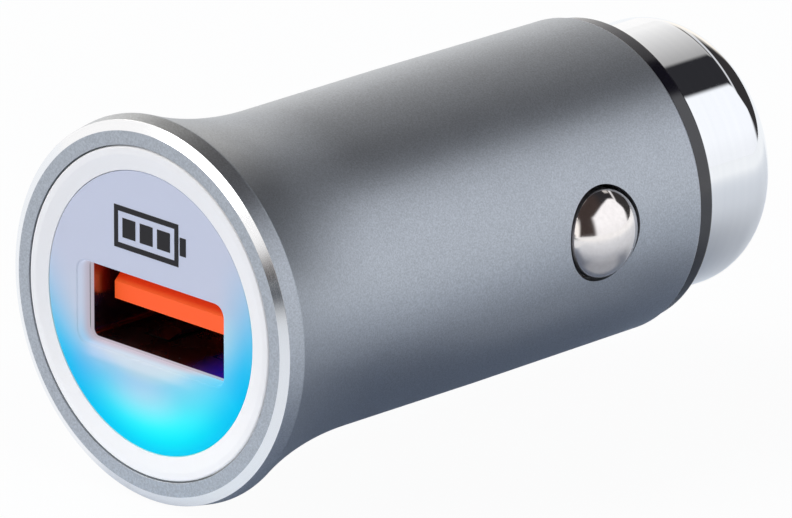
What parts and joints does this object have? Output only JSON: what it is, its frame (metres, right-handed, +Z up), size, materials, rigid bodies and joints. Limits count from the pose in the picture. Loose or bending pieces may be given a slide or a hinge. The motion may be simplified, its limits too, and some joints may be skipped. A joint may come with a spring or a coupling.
{
  "type": "car usb charger plug",
  "caption": "Car charger plug: flared aluminium barrel with a lit USB port in its face, sprung side contacts, and a plated nose with a sprung tip contact.",
  "frame": {"origin": "on the plug's axis, where the flare of the housing meets its straight barrel", "axes": "+Y along the axis towards the nose, the way the plug goes into its socket; +Z up, square to the long side of the port"},
  "size_m": [0.0252, 0.05, 0.0252],
  "materials": {
    "blasted_aluminium": "bead-blasted and grey anodised",
    "white_plastic": "glossy white",
    "light_plate": "translucent, lit from behind",
    "shell_steel": "rolled stainless sheet",
    "orange_plastic": "satin moulding",
    "contact_brass": "gold-plated",
    "board_laminate": "solder mask",
    "led_resin": "clear resin",
    "ferrite": "matt ferrite",
    "can_aluminium": "drawn can",
    "chip_resin": "matt moulding",
    "ceramic": "fired ceramic",
    "contact_steel": "polished and plated",
    "spring_steel": "rolled spring steel",
    "black_plastic": "glossy black",
    "bright_plating": "mirror plating"
  },
  "bodies": {
    "charger": {"housing": "blasted_aluminium", "bezel_ring": "white_plastic", "face_plate": "light_plate", "usb_shell": "shell_steel", "usb_tongue": "orange_plastic", "usb_contact_vbus": "contact_brass", "usb_contact_data_minus": "contact_brass", "usb_contact_data_plus": "contact_brass", "usb_contact_ground": "contact_brass", "main_board": "board_laminate", "led_left": "led_resin", "led_centre": "led_resin", "led_right": "led_resin", "power_inductor": "ferrite", "input_capacitor": "can_aluminium", "output_capacitor": "can_aluminium", "converter_chip": "chip_resin", "charge_chip": "chip_resin", "rectifier_diode": "chip_resin", "ceramic_capacitors": "ceramic", "resistors": "ceramic", "side_spring_right": "spring_steel", "side_spring_left": "spring_steel", "nose_insulator": "black_plastic", "nose_cap": "bright_plating", "tip_spring": "spring_steel", "tip_terminal": "contact_brass"},
    "side_contact_right": {"side_contact_right": "contact_steel"},
    "side_contact_left": {"side_contact_left": "contact_steel"},
    "tip_contact": {"tip_contact": "contact_steel"}
  },
  "joints": [
    {"name": "side_contact_right_press", "type": "slide", "parent": "charger", "child": "side_contact_right", "axis": [-0.9983, 0, -0.0576], "range_m": [0, 0.0013], "stiffness_N_per_m": 800, "deforming": ["side_spring_right"]},
    {"name": "side_contact_left_press", "type": "slide", "parent": "charger", "child": "side_contact_left", "axis": [0.9983, 0, 0.0576], "range_m": [0, 0.0013], "stiffness_N_per_m": 800, "deforming": ["side_spring_left"]},
    {"name": "tip_contact_press", "type": "slide", "parent": "charger", "child": "tip_contact", "axis": [0, -1, 0], "range_m": [0, 0.0018], "stiffness_N_per_m": 900, "deforming": ["tip_spring"]}
  ]
}
